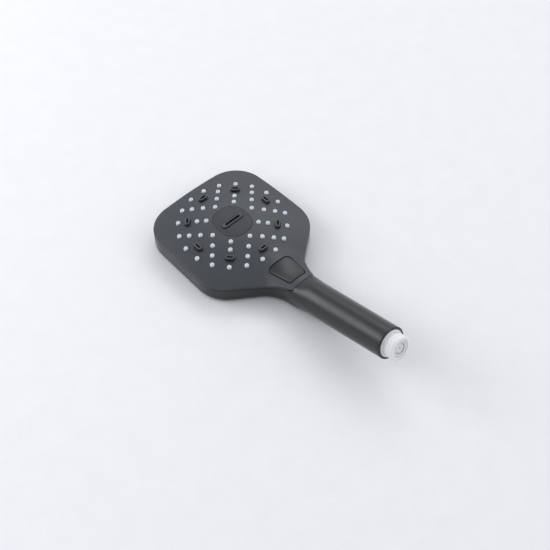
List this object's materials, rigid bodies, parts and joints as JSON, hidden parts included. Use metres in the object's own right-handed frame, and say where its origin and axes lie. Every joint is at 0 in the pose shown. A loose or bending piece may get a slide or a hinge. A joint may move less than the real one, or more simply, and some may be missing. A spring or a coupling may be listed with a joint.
{
  "type": "handheld shower head",
  "caption": "Handheld shower head with a domed rounded-square spray face, soft rain tips, fan slots, a middle jet, a spray selector button and a threaded hose inlet with a check valve.",
  "frame": {"origin": "middle of the head, on the flat back that the part lies on", "axes": "+Z out of the spray face, the handle along -Y, X across the head"},
  "size_m": [0.1162, 0.2535, 0.0522],
  "materials": {
    "shell_plastic": "matte charcoal, fine moulded grain",
    "face_plastic": "matte dark grey",
    "pale_silicone": "soft, satin, pale blue-grey",
    "black_silicone": "soft, slightly glossy black",
    "white_plastic": "satin white",
    "grey_plastic": "matte light grey",
    "inner_plastic": "uncoloured moulding",
    "seal_rubber": "black rubber",
    "steel": "stainless"
  },
  "bodies": {
    "housing": {"rear_shell": "shell_plastic", "face_plate": "face_plastic", "rain_nozzle_mat": "pale_silicone", "fan_nozzles": "black_silicone", "centre_plate": "face_plastic", "jet_nozzle": "face_plastic", "plunger_seal": "seal_rubber", "button_spring": "steel", "spray_chamber": "inner_plastic", "chamber_cover": "inner_plastic", "chamber_screws": "steel", "diverter_body": "inner_plastic", "diverter_cap": "inner_plastic", "diverter_cap_seal": "seal_rubber", "diverter_screws": "steel", "outlet_seals": "seal_rubber", "waterway_tube": "inner_plastic", "tube_seal": "seal_rubber", "inlet_connector": "white_plastic", "connector_seal": "seal_rubber", "connector_clip": "steel", "check_valve_body": "grey_plastic", "check_valve_spring": "steel", "check_valve_seal": "seal_rubber"},
    "button": {"button": "face_plastic", "plunger": "inner_plastic"},
    "rotor": {"diverter_rotor": "inner_plastic", "rotor_seal": "seal_rubber"},
    "poppet": {"check_valve_poppet": "grey_plastic"}
  },
  "joints": [
    {"name": "button_press", "type": "slide", "parent": "housing", "child": "button", "axis": [0, 0, -1], "range_m": [0, 0.0025], "stiffness_N_per_m": 1500, "springref_m": -0.002, "deforming": ["button_spring"]},
    {"name": "diverter_turn", "type": "hinge", "parent": "housing", "child": "rotor", "pos_m": [0, -0.0693, 0.0087], "axis": [0, 0, 1], "range_deg": [0, 60]},
    {"name": "check_valve_open", "type": "slide", "parent": "housing", "child": "poppet", "axis": [0, 0.9664, -0.2571], "range_m": [0, 0.003], "stiffness_N_per_m": 150, "springref_m": -0.001, "deforming": ["check_valve_spring"]}
  ],
  "couplings": [
    {"joint": "diverter_turn", "follows": "button_press", "rad_per_m": 418.8}
  ]
}
